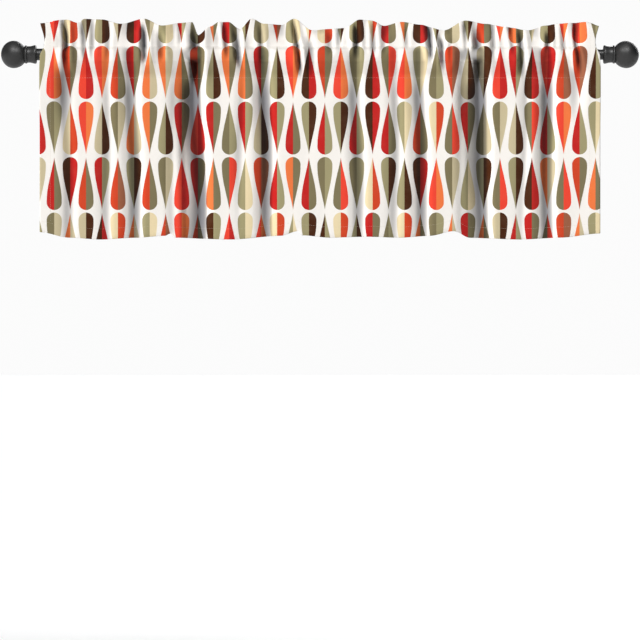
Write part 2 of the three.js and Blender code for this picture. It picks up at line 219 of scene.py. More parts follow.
def printed(name, strength):
    """Woven cotton printed with split drops. strength is how much of the dye shows on this side."""
    made, n = material(name)
    at = n.new("ShaderNodeAttribute", attribute_name="print_at_and_painted_shade").outputs["Vector"]
    split = n.new("ShaderNodeSeparateXYZ")
    n.put(split.inputs[0], at)
    x, z = split.outputs[0], split.outputs[1]
    at = n.combine(x, z)
    # column, row, and place inside the cell
    u = n.math("DIVIDE", n.math("SUBTRACT", x, COLUMN_AT), PITCH_X)
    column = n.math("FLOOR", n.math("ADD", u, 0.5))
    off = n.math("MULTIPLY", n.math("SUBTRACT", u, column), PITCH_X)
    v = n.math("DIVIDE", n.math("SUBTRACT", ROW_AT, z), PITCH_Z)
    row = n.math("FLOOR", v)
    down = n.math("SUBTRACT", v, row)
    turn = n.math("FLOORED_MODULO", n.math("ADD", n.math("ADD", column, row), 1.0), 2.0)
    flipped = n.math("GREATER_THAN", turn, 0.5)
    # distance from the round end: down where flipped is 0, 1 - down where it is 1
    along = n.math(
        "ADD", n.math("MULTIPLY", down, n.math("SUBTRACT", 1.0, n.math("MULTIPLY", flipped, 2.0))), flipped
    )
    t = n.math("SUBTRACT", n.math("MULTIPLY", along, PITCH_Z), ROUND_GAP)
    # half-width: a circle at the round end, then an easing taper
    back = n.math("SUBTRACT", ROUND_R, t)
    circle = n.math(
        "SQRT", n.math("MAXIMUM", n.math("SUBTRACT", ROUND_R * ROUND_R, n.math("MULTIPLY", back, back)), 0.0)
    )
    length = PITCH_Z - ROUND_GAP - TIP_GAP - ROUND_R
    q = n.math("DIVIDE", n.math("SUBTRACT", t, ROUND_R), length)
    left_over = n.math("SUBTRACT", 1.0, q)
    swell = n.math("ADD", 1.0, n.math("MULTIPLY", n.math("MULTIPLY", q, left_over), TAPER_SWELL))
    taper = n.math("MULTIPLY", n.math("MULTIPLY", left_over, swell), ROUND_R)
    round_end = n.math("LESS_THAN", t, ROUND_R)
    before = n.math("LESS_THAN", t, 0.0)
    half = n.math(
        "ADD",
        n.math("MULTIPLY", circle, round_end),
        n.math("MULTIPLY", taper, n.math("SUBTRACT", 1.0, round_end)),
    )
    half = n.math("SUBTRACT", half, before)
    ragged = n.math("MULTIPLY", n.math("SUBTRACT", n.noise(at, 900.0, 1.0), 0.5), RAGGED)
    inside = n.math("SUBTRACT", n.math("ADD", half, ragged), n.math("ABSOLUTE", off))
    inside = n.math("ADD", n.math("DIVIDE", inside, PRINT_BLEED), 0.5, clamp=True)
    # two dye colours for each drop, drawn from the lists
    pick = n.new("ShaderNodeTexWhiteNoise", noise_dimensions="2D")
    n.put(pick.inputs["Vector"], n.combine(n.math("ADD", column, 41.5), n.math("ADD", row, 7.5)))
    number = pick.outputs["Value"]
    count = len(LEFT_HALVES)

    def dye(halves):
        return n.ramp(number, [(i / count, PALETTE[h]) for i, h in enumerate(halves)], "CONSTANT")

    right = n.math("ADD", n.math("DIVIDE", off, HALVES_MEET), 0.5, clamp=True)
    colour = n.mix(right, dye(LEFT_HALVES), dye(RIGHT_HALVES))
    # uneven take-up of the dye, and yarns that show through it
    blotch = n.math("SUBTRACT", n.noise(at, 38.0, 3.0), 0.4, clamp=True)
    colour = n.mix(n.math("MULTIPLY", blotch, 0.1), colour, BARE_YARN)
    ground = n.mix(n.math("MULTIPLY", n.noise(at, 14.0, 3.0), 0.08), CLOTH_WHITE, CLOTH_CREAM)
    cover = n.math("MULTIPLY", inside, strength)
    cloth = n.mix(cover, ground, colour)
    # plain weave: warp and weft yarns, with slubs
    stretch_x = n.combine(n.math("MULTIPLY", x, SLUB_STRETCH), z)
    stretch_z = n.combine(x, n.math("MULTIPLY", z, SLUB_STRETCH))
    weft_slub = n.noise(stretch_x, 2600.0, 2.0)
    warp_slub = n.noise(stretch_z, 2600.0, 2.0)
    yarn = 2 * math.pi / YARN_PITCH
    weft = n.math("SINE", n.math("MULTIPLY", z, yarn))
    warp = n.math("SINE", n.math("MULTIPLY", x, yarn))
    weave = n.math("MULTIPLY", weft, warp)
    height = n.math(
        "ADD",
        n.math("MULTIPLY", weave, 0.35),
        n.math("ADD", n.math("MULTIPLY", weft_slub, 0.6), n.math("MULTIPLY", warp_slub, 0.6)),
    )
    slub = n.math("MULTIPLY", n.math("SUBTRACT", n.math("ADD", weft_slub, warp_slub), 1.0), 0.10)
    shade = n.math("ADD", slub, 1.0)
    cloth = n.mix(1.0, cloth, n.combine(shade, shade, shade), "MULTIPLY")
    # the third number of the attribute is how much painted shade a spot takes deep between folds; it darkens
    # the cloth's colour there
    painted_shade = split.outputs[2]
    cloth = n.mix(painted_shade, cloth, n.mix(1.0, cloth, PAINTED_FOLD_SHADE, "MULTIPLY"))
    crumple = n.noise(at, 26.0, 3.0, 0.55)
    bumped = n.bump(height, 0.35, 0.12 * MM, n.bump(crumple, 0.25, 2.2 * MM))
    rough = n.math("ADD", n.math("MULTIPLY", n.noise(at, 300.0, 2.0), 0.12), 0.80)
    n.surface(
        Base_Color=cloth,
        Roughness=rough,
        Normal=bumped,
        Specular_IOR_Level=0.2,
        Sheen_Weight=0.07,
        Sheen_Roughness=0.45,
    )
    return made


def coated(name, base, rough, metallic, grain=420.0, coat=0.0, depth=0.05):
    """Sprayed or moulded finish with orange peel, faint mottling and dust in the roughness."""
    made, n = material(name)
    at = n.new("ShaderNodeTexCoord").outputs["Object"]
    mottle = n.noise(at, 60.0, 4.0)
    fine = n.noise(at, grain, 3.0, 0.6)
    lighter = tuple(min(1.0, c * 1.7 + 0.004) for c in base[:3]) + (1.0,)
    colour = n.mix(mottle, base, lighter)
    roughness = n.math("ADD", n.math("MULTIPLY", mottle, 0.16), rough)
    n.surface(
        Base_Color=colour,
        Roughness=roughness,
        Metallic=metallic,
        Coat_Weight=coat,
        Coat_Roughness=0.25,
        Normal=n.bump(fine, 0.35, depth * MM),
    )
    return made


def plated(name):
    """Zinc-plated steel with turning marks."""
    made, n = material(name)
    at = n.new("ShaderNodeTexCoord").outputs["Object"]
    cloud = n.noise(at, 130.0, 4.0)
    lines = n.noise(at, 1500.0, 2.0)
    colour = n.ramp(cloud, [(0.3, (0.42, 0.43, 0.44, 1)), (0.7, (0.66, 0.66, 0.65, 1))])
    n.surface(
        Base_Color=colour,
        Roughness=n.math("ADD", n.math("MULTIPLY", cloud, 0.2), 0.24),
        Metallic=1.0,
        Normal=n.bump(lines, 0.2, 0.05 * MM),
    )
    return made


def threadlike(name):
    made, n = material(name)
    at = n.new("ShaderNodeTexCoord").outputs["Object"]
    fleck = n.noise(at, 2200.0, 2.0)
    n.surface(
        Base_Color=n.mix(fleck, linear(196, 184, 164), linear(226, 216, 198)),
        Roughness=0.7,
        Sheen_Weight=0.2,
        Normal=n.bump(fleck, 0.4, 0.1 * MM),
    )
    return made


CLOTH = printed("printed_cotton", 1.0)
REVERSE = printed("printed_cotton_reverse", 0.30)
BLACK = coated("black_powder_coat", (0.0125, 0.0122, 0.012, 1), 0.36, 0.1, grain=700.0, coat=0.1)
RESIN = coated("black_satin_resin", (0.0135, 0.0132, 0.013, 1), 0.42, 0.0, grain=300.0, coat=0.06)
NYLON = coated("black_nylon", (0.03, 0.03, 0.03, 1), 0.55, 0.0, grain=900.0, depth=0.08)
ZINC = plated("zinc_plate")
THREAD = threadlike("sewing_thread")


# ------------------------------------------------------------------ mesh helpers
def add_mesh(name, verts, faces, mats, smooth=True, sharp=None):
    mesh = bpy.data.meshes.new(name)
    mesh.from_pydata([tuple(v) for v in verts], [], faces)
    mesh.update()
    for m in mats:
        mesh.materials.append(m)
    mesh.polygons.foreach_set("use_smooth", [smooth] * len(mesh.polygons))
    if sharp is not None:
        mesh.set_sharp_from_angle(angle=math.radians(sharp))
    obj = bpy.data.objects.new(name, mesh)
    bpy.context.scene.collection.objects.link(obj)
    return obj


def fillet(rows, radius, steps=5):
    """Rounds the inner corners of an open polyline of 2D points."""
    out = [rows[0]]
    for before, corner, after in zip(rows, rows[1:], rows[2:]):
        p, a, b = np.array(corner), np.array(before), np.array(after)
        da, db = a - p, b - p
        la, lb = np.linalg.norm(da), np.linalg.norm(db)
        reach = min(radius, la * 0.45, lb * 0.45)
        start, end = p + da / la * reach, p + db / lb * reach
        for i in range(steps + 1):
            s = i / steps
            out.append(tuple((1 - s) ** 2 * start + 2 * s * (1 - s) * p + s * s * end))
    out.append(rows[-1])
    return out


AXES = {
    "x": (Vector((1, 0, 0)), Vector((0, 1, 0)), Vector((0, 0, 1))),
    "y": (Vector((0, 1, 0)), Vector((0, 0, 1)), Vector((1, 0, 0))),
    "z": (Vector((0, 0, 1)), Vector((1, 0, 0)), Vector((0, 1, 0))),
}


def turned(name, rows, origin, axis, mat, sign=1, segments=96, sharp=38, radius_at=None):
    """Revolves rows of (distance along the axis, radius), a closed outline or one that ends on the axis."""
    along, e1, e2 = AXES[axis]
    along = along * sign
    closed = rows[0] == rows[-1]
    body = rows[:-1] if closed else rows
    verts, rings = [], []
    for d, r in body:
        if r < 1e-7:
            rings.append([len(verts)])
            verts.append(origin + along * d)
            continue
        ring = []
        for k in range(segments):
            a = 2 * math.pi * k / segments
            rr = r * (radius_at(d, a) if radius_at else 1.0)
            ring.append(len(verts))
            verts.append(origin + along * d + e1 * (rr * math.cos(a)) + e2 * (rr * math.sin(a)))
        rings.append(ring)
    faces = []
    pairs = list(zip(rings, rings[1:])) + ([(rings[-1], rings[0])] if closed else [])
    for one, two in pairs:
        for k in range(segments):
            m = (k + 1) % segments
            if len(one) == 1 and len(two) == 1:
                continue
            if len(one) == 1:
                faces.append((one[0], two[m], two[k]))
            elif len(two) == 1:
                faces.append((one[k], one[m], two[0]))
            else:
                faces.append((one[k], one[m], two[m], two[k]))
    obj = add_mesh(name, verts, faces, [mat], sharp=sharp)
    bm = bmesh.new()
    bm.from_mesh(obj.data)
    bmesh.ops.recalc_face_normals(bm, faces=bm.faces)
    bm.to_mesh(obj.data)
    bm.free()
    return obj


def settle(obj, body, slot, *nodes):
    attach(obj, body)
    if nodes:
        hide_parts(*nodes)
    return obj


# ------------------------------------------------------------------ rod
def mm_rows(*rows):
    return [(a * MM, r * MM) for a, r in rows]


def closed_round(rows, radius):
    """Closed outline with rounded corners."""
    ring = rows[:-1]
    start = tuple((np.array(ring[0]) + np.array(ring[1])) / 2)
    return fillet([start, *ring[1:], ring[0], start], radius)


def tube(name, node, bore, mat, body, slot):
    lo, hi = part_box(node)
    r = (hi[2] - lo[2]) / 2
    rows = [(lo[0], bore), (lo[0], r), (hi[0], r), (hi[0], bore), (lo[0], bore)]
    rows = closed_round(rows, 0.35 * MM)
    return settle(
        turned(name, rows, Vector((0, ROD_Y, middle(node).z)), "x", mat, segments=72), body, slot, node
    )


tube("rod_outer_tube", "outer_tube", 11.9 * MM, BLACK, "rod", "black_metal")
tube("rod_inner_tube", "inner_tube", 10.6 * MM, BLACK, "rod_extension", "black_metal")


def end_plug(name, node, body):
    lo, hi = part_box(node)
    r = (hi[2] - lo[2]) / 2
    bore = 4.3 * MM
    outward = 1 if middle(node).x > 0 else -1
    face = hi[0] if outward > 0 else lo[0]
    length = hi[0] - lo[0]
    ribs = [(face, bore), (face, r)]
    for i in range(1, 5):
        at = face - outward * length * i / 5
        half = 0.6 * MM * outward
        ribs += [(at + half, r), (at + half, r - 0.7 * MM), (at - half, r - 0.7 * MM), (at - half, r)]
    end = face - outward * length
    ribs += [(end, r), (end, bore), (face, bore)]
    return settle(
        turned(name, ribs, Vector((0, ROD_Y, middle(node).z)), "x", NYLON, segments=60), body, "nylon", node
    )


end_plug("plug_outer", "outer_end_plug", "rod")
end_plug("plug_inner", "inner_end_plug", "rod_extension")

lo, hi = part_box("inner_glide_cap")
cap_r = (hi[2] - lo[2]) / 2
cap = [
    (lo[0], 0.0), (lo[0], cap_r), (lo[0] + 2.7 * MM, cap_r), (lo[0] + 2.7 * MM, 10.3 * MM),
    (hi[0], 10.3 * MM), (hi[0], 7.5 * MM), (lo[0] + 5 * MM, 7.5 * MM), (lo[0] + 5 * MM, 0.0),
]
settle(
    turned("glide_cap", fillet(cap, 0.5 * MM), Vector((0, ROD_Y, ROD_Z)), "x", NYLON, segments=60),
    "rod_extension", "nylon", "inner_glide_cap",
)


# ------------------------------------------------------------------ finials
# millimetres from the rod's end
ROD_END = abs(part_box("outer_tube")[0][0]) / MM
BALL_AT, BALL_R = 49.8, 29.55
BALL_IN, BALL_OUT = 30.0, 27.0  # half-lengths towards the rod and away from it
STUD_INNER, STUD_R, STUD_ROOT, STUD_PITCH = -10.0, 4.0, 3.4, 1.25


def finial(side, sign):
    origin = Vector((sign * ROD_END * MM, ROD_Y, ROD_Z))
    collar = mm_rows(
        (0.3, 4.4), (0.3, 18.3), (0.5, 19.0), (1.0, 19.6), (1.9, 20.0), (2.9, 20.1), (4.0, 20.0),
        (5.2, 19.75), (6.6, 19.4), (8.2, 18.95), (9.8, 18.55), (11.5, 18.2), (13.2, 17.95), (15.0, 17.75),
        (16.8, 17.7), (18.3, 17.8), (19.2, 17.9), (19.6, 17.6), (19.7, 17.2), (19.7, 4.4), (0.3, 4.4),
    )
    settle(
        turned(f"{side}_collar", collar, origin, "x", BLACK, sign, 120, sharp=50),
        f"{side}_collar", "black_metal", f"{side}_finial_collar",
    )
    rows = [
        (28.0, 0.0), (28.0, 4.4), (20.0, 4.4), (20.0, 17.6), (20.15, 18.4), (20.6, 19.0), (21.3, 19.45),
        (22.2, 19.65), (23.2, 19.65), (24.1, 19.4), (24.8, 18.9), (25.25, 18.3), (25.5, 17.9),
    ]
    first = math.acos((BALL_AT - 25.75) / BALL_IN)
    steps = 48
    for i in range(steps + 1):
        a = first + (math.pi - first) * i / steps
        half = BALL_IN if a < math.pi / 2 else BALL_OUT
        rows.append((BALL_AT - half * math.cos(a), 0.0 if i == steps else BALL_R * math.sin(a)))
    settle(
        turned(f"{side}_ball", mm_rows(*rows), origin, "x", RESIN, sign, 120, sharp=60),
        f"{side}_finial", "black_resin", f"{side}_finial_ball",
    )
    lo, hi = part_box(f"{side}_finial_stud")
    outer = max(abs(lo[0]), abs(hi[0])) / MM - ROD_END
    at = STUD_INNER + 0.7
    stud = [(STUD_INNER, 0.0), (STUD_INNER, 2.9), (at, STUD_ROOT)]
    while at + STUD_PITCH < outer - 0.6:
        crest = [(at + share * STUD_PITCH, STUD_R) for share in (0.35, 0.5)]
        stud += [*crest, (at + STUD_PITCH, STUD_ROOT)]
        at += STUD_PITCH
    stud += [(outer, STUD_ROOT), (outer, 0.0)]
    settle(
        turned(f"{side}_stud", mm_rows(*stud), origin, "x", ZINC, sign, 40, sharp=20),
        f"{side}_finial", "steel", f"{side}_finial_stud",
    )


finial("left", -1)
finial("right", 1)


# ------------------------------------------------------------------ brackets
def prism(name, outline, axis, at, depth, mat, bevel=0.4 * MM, holes=()):
    """Solid of a 2D outline across an axis, with its rims softened. Holes are (a, b, radius)."""
    along, e1, e2 = AXES[axis]
    bm = bmesh.new()
    loops = [list(outline)]
    for a, b, r in holes:
        turns = [-2 * math.pi * (k + 0.5) / 32 for k in range(32)]
        loops.append([(a + r * math.cos(t), b + r * math.sin(t)) for t in turns])
    edges = []
    for loop in loops:
        verts = [bm.verts.new(at + e1 * a + e2 * b) for a, b in loop]
        edges += [bm.edges.new((verts[i], verts[(i + 1) % len(verts)])) for i in range(len(verts))]
    filled = bmesh.ops.triangle_fill(bm, use_beauty=True, edges=edges)
    faces = [f for f in filled["geom"] if isinstance(f, bmesh.types.BMFace)]
    made = bmesh.ops.extrude_face_region(bm, geom=faces)
    far = [v for v in made["geom"] if isinstance(v, bmesh.types.BMVert)]
    bmesh.ops.translate(bm, vec=along * depth, verts=far)
    bmesh.ops.recalc_face_normals(bm, faces=bm.faces)

    def on_hole(vert):
        a, b = (vert.co - at).dot(e1), (vert.co - at).dot(e2)
        return any(math.hypot(a - x, b - y) < 1.1 * r for x, y, r in holes)

    bent = [e for e in bm.edges if e.calc_face_angle(0.0) > math.radians(50)]
    rims = [e for e in bent if not any(map(on_hole, e.verts))]
    bmesh.ops.bevel(bm, geom=rims, offset=bevel, segments=2, profile=0.5, affect="EDGES", clamp_overlap=True)
    mesh = bpy.data.meshes.new(name)
    bm.to_mesh(mesh)
    bm.free()
    mesh.materials.append(mat)
    obj = bpy.data.objects.new(name, mesh)
    bpy.context.scene.collection.objects.link(obj)
    mesh.polygons.foreach_set("use_smooth", [True] * len(mesh.polygons))
    mesh.set_sharp_from_angle(angle=math.radians(38))
    obj.modifiers.new("even", "WEIGHTED_NORMAL").keep_sharp = True
    return obj


def arc(radius, start, end, steps, centre=(0.0, 0.0)):
    return [
        (
            centre[0] + radius * math.cos(math.radians(start + (end - start) * i / steps)),
            centre[1] + radius * math.sin(math.radians(start + (end - start) * i / steps)),
        )
        for i in range(steps + 1)
    ]


def knurl(teeth, share, first, last):
    """Radius factor that cuts teeth between two distances along a turned piece."""

    def at(d, a):
        return 1.0 + share * math.cos(teeth * a) if first < d < last else 1.0

    return at


def thumb_screw(name, node, body, slot):
    """M4 screw with a knurled head, point up. Distances are millimetres down from the point."""
    lo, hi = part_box(node)
    c = middle(node)
    height = (hi[2] - lo[2]) / MM
    neck, pitch, at = 7.0, 0.7, 0.5
    rows = [(0.0, 0.0), (0.0, 1.4), (at, 1.8)]
    while at + pitch < neck - 0.6:
        rows += [(at + 0.2, 2.0), (at + 0.35, 2.0), (at + pitch, 1.72)]
        at += pitch
    rows += [
        (neck, 1.8), (neck, 3.6), (7.3, 4.2), (7.9, 4.82), (height - 0.9, 4.82), (height - 0.4, 4.4),
        (height, 3.6), (height, 2.2), (height - 0.8, 1.9), (height - 0.8, 0.0),
    ]
    factor = knurl(28, 0.03, 7.6 * MM, (height - 0.6) * MM)
    point = Vector((c.x, c.y, hi[2]))
    obj = turned(name, mm_rows(*rows), point, "z", ZINC, -1, 112, sharp=30, radius_at=factor)
    return settle(obj, body, slot, node)


def wall_screw(name, node, body):
    """4 mm wood screw with a raised head and a cross recess, point into the wall."""
    lo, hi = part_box(node)
    c = middle(node)
    face = lo[1] / MM
    recess, rim, under_head = face + 1.0, face + 0.25, -2.8
    rows = [
        (recess, 0.0), (recess, 0.9), (rim, 1.1), (face, 2.2), (face + 0.5, 3.3), (face + 1.3, 3.95),
        (under_head, 3.95), (under_head, 1.9),
    ]
    at, pitch, thread_end = 0.5, 1.8, 17.0
    rows.append((at, 1.55))
    while at + pitch < thread_end:
        rows += [(at + 0.55 * pitch, 1.3), (at + 0.8 * pitch, 1.98), (at + pitch, 1.3)]
        at += pitch
    rows.append((hi[1] / MM, 0.0))

    def cross(d, a):
        in_recess = min(abs(d / MM - recess), abs(d / MM - rim)) < 0.01
        return 1.0 + 0.5 * math.cos(4 * a) if in_recess else 1.0

    obj = turned(name, mm_rows(*rows), Vector((c.x, 0, c.z)), "y", ZINC, 1, 40, sharp=30, radius_at=cross)
    return settle(obj, body, "steel", node)


PLATE_SCREWS, PLATE_HOLE = 28 * MM, 2.6 * MM
SLEEVE_R, SLEEVE_BORE, ARM_R = 8 * MM, 6.3 * MM, 6 * MM
CRADLE_R, CRADLE_SEAT = 16 * MM, 13.2 * MM


def bracket(side):
    lo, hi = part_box(f"{side}_wall_plate")
    c = middle(f"{side}_wall_plate")
    w, h = (hi[0] - lo[0]) / 2, (hi[2] - lo[2]) / 2
    # axis y: the outline's first number runs along z and the second along x
    outline = arc(w, -90, 90, 24, (h - w, 0.0)) + arc(w, 90, 270, 24, (-(h - w), 0.0))
    holes = [(PLATE_SCREWS, 0.0, PLATE_HOLE), (-PLATE_SCREWS, 0.0, PLATE_HOLE)]
    room_side = Vector((c.x, lo[1], 0))
    plate = prism(f"{side}_plate", outline, "y", room_side, hi[1] - lo[1], BLACK, 0.5 * MM, holes)
    settle(plate, "brackets", "black_metal", f"{side}_wall_plate")
    lo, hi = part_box(f"{side}_arm_sleeve")
    corners = [(0, SLEEVE_BORE), (0, SLEEVE_R), (1, SLEEVE_R), (1, SLEEVE_BORE), (0, SLEEVE_BORE)]
    rows = closed_round([((lo, hi)[end][1], r) for end, r in corners], 0.6 * MM)
    sleeve = turned(f"{side}_sleeve", rows, Vector((c.x, 0, 0)), "y", BLACK, segments=72)
    settle(sleeve, "brackets", "black_metal", f"{side}_arm_sleeve")
    lo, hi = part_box(f"{side}_cradle_arm")
    rows = fillet([(lo[1], 0.0), (lo[1], ARM_R), (hi[1], ARM_R), (hi[1], 0.0)], 0.8 * MM)
    arm = turned(f"{side}_arm", rows, Vector((c.x, 0, 0)), "y", BLACK, segments=64)
    settle(arm, f"{side}_arm", "black_metal", f"{side}_cradle_arm")
    lo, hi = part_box(f"{side}_rod_cradle")
    seat_z = lo[2] + CRADLE_R
    # axis x: the outline's first number runs along y and the second along z
    outline = (
        mm_rows((16, 3), (15.2, 4), (14, 4), (13.2, 3.2))
        + arc(CRADLE_SEAT, 0, -180, 40)
        + mm_rows((-13.4, 0.6), (-14.4, 1.0), (-15.6, 0.5))
        + arc(CRADLE_R, 180, 360, 44)
    )
    cradle = prism(
        f"{side}_cradle", outline, "x", Vector((lo[0], ROD_Y, seat_z)), hi[0] - lo[0], BLACK, 0.5 * MM
    )
    settle(cradle, f"{side}_arm", "black_metal", f"{side}_rod_cradle")
    thumb_screw(f"{side}_lock_screw", f"{side}_sleeve_lock_screw", f"{side}_lock", "steel")
    thumb_screw(f"{side}_set_screw", f"{side}_cradle_set_screw", f"{side}_set", "steel")
    for place in ("upper", "lower"):
        wall_screw(f"{side}_screw_{place}", f"{side}_wall_screw_{place}", "brackets")


bracket("left")
bracket("right")


# ------------------------------------------------------------------ cloth
# Millimetres from here on: x as in the frame, z above the rod's axis, depth behind it
HALF = 604.0  # half of the hanging width
SIDE_HEM = 25.0
BOTTOM_HEM = 25.0
BACK_HALF = 576.0  # the facing stops short of the brackets
HEADER_SEAM = 15.0
POCKET_SEAM = -50.0
POCKET_MIDDLE = -18.0
CLOTH_THICK = 0.6

# x, z along the two wavy edges
HEADER_TOP = [
    (-606, 68), (-548, 75), (-522, 68), (-509, 77), (-470, 75), (-431, 66), (-380, 77), (-341, 62),
    (-302, 68), (-276, 70), (-263, 42), (-237, 60), (-218, 70), (-198, 70), (-173, 55), (-147, 77),
    (-121, 66), (-82, 64), (-56, 77), (-17, 52), (22, 55), (54, 57), (86, 75), (112, 73), (138, 62),
    (177, 70), (216, 64), (267, 52), (315, 73), (358, 66), (400, 59), (449, 52), (487, 62), (513, 66),
    (544, 68), (578, 70), (606, 62),
]
HEM_LINE = [
    (-606, -384), (-540, -396), (-474, -400), (-395, -396), (-334, -392), (-323, -387), (-313, -396),
    (-194, -400), (-86, -392), (-47, -382), (-39, -391), (22, -396), (97, -394), (172, -396), (237, -392),
    (289, -382), (324, -396), (431, -400), (517, -396), (606, -387),
]
# Standing folds of the skirt. For the top and for the hem: x of the valley, width of its long flank on
# the left, width of the short one on the right, depth
VALLEYS = [
    ((-554, 26, 26, 5.5), (-542, 22, 22, 5)),
    ((-461, 24, 20, 4.8), (-461, 24, 20, 4.2)),
    ((-409, 34, 26, 13), (-399, 32, 24, 11)),
    ((-318, 22, 18, 5), (-318, 20, 18, 5)),
    ((-293, 34, 30, 9), (-290, 30, 34, 8)),
    ((-270, 50, 28, 38), (-259, 46, 28, 27)),
    ((-168, 20, 20, 4.5), (-180, 18, 18, 1.5)),
    ((-121, 32, 26, 18), (-114, 30, 24, 13)),
    ((75, 28, 24, 10), (83, 26, 22, 7)),
    ((162, 24, 22, 6), (160, 24, 20, 4.5)),
    ((212, 30, 24, 12), (222, 30, 22, 11)),
    ((304, 20, 18, 6), (304, 20, 18, 4)),
    ((320, 32, 30, 8), (322, 30, 32, 7)),
    ((343, 48, 28, 37), (352, 46, 26, 24)),
    ((444, 24, 20, 6), (436, 24, 20, 2)),
    ((487, 34, 26, 20), (491, 32, 22, 13)),
]
EDGE_IN = [(-30, 0), (-6, 1.2), (20, 11), (26, 11), (77, 0)]  # z, how far the side edges draw in
EDGE_REACH = 70.0
MARGIN_AT, MARGIN_EASE = 545.0, 33.0  # where the cloth starts to come forward, and over how much
SKIRT_DROP = 345.0
SKIRT_FRONT = -10.5
# z, share of the way out that the pocket has bulged
POCKET_WRAP = [
    (-50, 0), (-44, 0.1), (-36, 0.36), (-26, 0.66), (-14, 0.92), (-4, 1), (4, 0.97), (9, 0.8), (13, 0.42),
    (15, 0),
]
POCKET_BULGE = 17.5
MARGIN_FRONT = 22.0  # the side margins pass in front of the finials' collars
CLEAR_OF_ROD = 14.2
CREASE_DEPTH = 1.45
POCKET_FOLLOWS = 0.62  # share of a fold's depth that reaches into the pocket

# Short creases where the heading is gathered: x, depth, half-width, top z, bottom z, sideways lean
CREASES = [
    (-552, 11, 5.5, 66, -22, 5), (-511, 6, 3.6, 60, -8, 6), (-489, 4, 4, 70, 0, 0),
    (-456, 4, 4, 66, -5, 0), (-396, 4, 3.4, 62, 24, 0), (-381, 12, 6, 56, -14, 4),
    (-344, 5, 5, 44, -10, 4), (-302, 5, 3.4, 66, 20, 2), (-268, 10, 9, 48, -55, 2),
    (-206, 8, 4.5, 66, -2, 8), (-184, 7, 5, 44, -16, 6), (-176, 8, 5, 40, -24, 5),
    (-128, 6, 4, 56, -10, 4), (-56, 11, 4, 66, -32, 14), (-46, 4, 6, 20, -40, 4),
    (42, 4, 3.4, 66, 16, 0), (78, 11, 4.5, 60, 0, 2), (115, 7, 4, 66, 2, 2), (139, 4, 3.4, 52, 4, 0),
    (186, 4, 3.4, 56, 14, 2), (235, 12, 5.5, 58, -8, 6), (262, 7, 6, 34, -30, 6),
    (280, 4, 4, 20, -26, 0), (314, 6, 3.8, 66, 6, 4), (340, 8, 8, 42, -58, 6), (374, 6, 4, 62, -4, 2),
    (412, 7, 4.5, 62, 0, 8), (432, 9, 6, 44, -36, 4), (492, 9, 4, 44, -2, 0), (524, 6, 4, 62, 4, 3),
    (553, 10, 4.5, 66, -34, 8), (-20, 3, 7, 34, -40, 2), (20, 3, 6, 44, 0, 3),
]


def smooth(t):
    c = np.clip(t, 0, 1)
    return c * c * (3 - 2 * c)


def mix(a, b, t):
    return a + (b - a) * t


def along(rows, at):
    """Eased value of a table at many positions."""
    xs = np.array([r[0] for r in rows], float)
    ys = np.array([r[1] for r in rows], float)
    at = np.clip(at, xs[0], xs[-1])
    i = np.clip(np.searchsorted(xs, at, side="right") - 1, 0, len(xs) - 2)
    t = (at - xs[i]) / (xs[i + 1] - xs[i])
    return mix(ys[i], ys[i + 1], smooth(t))


def curve(rows, at):
    """Smooth value of a table at many positions, without a flat step at each row."""
    xs = np.array([r[0] for r in rows], float)
    ys = np.array([r[1] for r in rows], float)
    slope = np.gradient(ys, xs)
    at = np.clip(at, xs[0], xs[-1])
    i = np.clip(np.searchsorted(xs, at, side="right") - 1, 0, len(xs) - 2)
    h = xs[i + 1] - xs[i]
    t = (at - xs[i]) / h
    return (
        (1 + 2 * t) * (1 - t) ** 2 * ys[i] + t * (1 - t) ** 2 * h * slope[i]
        + t * t * (3 - 2 * t) * ys[i + 1] + t * t * (t - 1) * h * slope[i + 1]
    )


def wrap(z):
    return np.clip(curve(POCKET_WRAP, z), 0, 1)


def creases(x, z):
    """Depth of the gathering creases: a groove with a low ridge each side."""
    total = np.zeros_like(x)
    for x0, depth, half, top, low, lean in CREASES:
        s = (top - z) / (top - low)
        envelope = smooth((s + 0.25) / 0.45) * smooth((1.25 - s) / 0.5)
        d = (x - x0 - lean * np.clip(s, -0.3, 1.3)) / half
        ridges = np.exp(-((d - 1.9) ** 2) / 1.6) + np.exp(-((d + 1.9) ** 2) / 1.6)
        total += CREASE_DEPTH * depth * envelope * (np.exp(-d * d) - 0.42 * ridges)
    return total


def margin_share(x):
    return smooth((np.abs(x) - MARGIN_AT) / MARGIN_EASE)


def ruffle(x):
    return 3.2 * np.sin(x / 17) + 2 * np.sin(x / 7.3 + 1)


def valleys(x, z):
    """How far the cloth falls back from its front, under the rod."""
    share = smooth((POCKET_SEAM - z) / SKIRT_DROP)
    total = np.zeros_like(x)
    for top, low in VALLEYS:
        at, left, right, depth = (mix(a, b, share) for a, b in zip(top, low))
        d = x - at - 2.0 * np.sin(z / 60.0 + top[0])
        flank = np.clip(1 + d / left, 0, 1) ** 1.6
        back = smooth(1 - d / right)
        total += depth * np.where(d < 0, flank, back)
    return total


def seam_depth(x, z):
    """The pocket's lower seam, which follows the folds."""
    return SKIRT_FRONT + 2.0 + POCKET_FOLLOWS * valleys(x, z) + creases(x, z)


def seam_top(z):
    """How far forward the pocket's upper seam lies, and the header just above it."""
    return mix(-14.0, -5.0, smooth((z - HEADER_SEAM) / 30))


def header_depth(x, z):
    up = smooth((z - HEADER_SEAM) / 50)
    on_rod = seam_top(z) + 0.9 * ruffle(x) * up + creases(x, z)
    return mix(on_rod, mix(-MARGIN_FRONT, -9, up), margin_share(x))


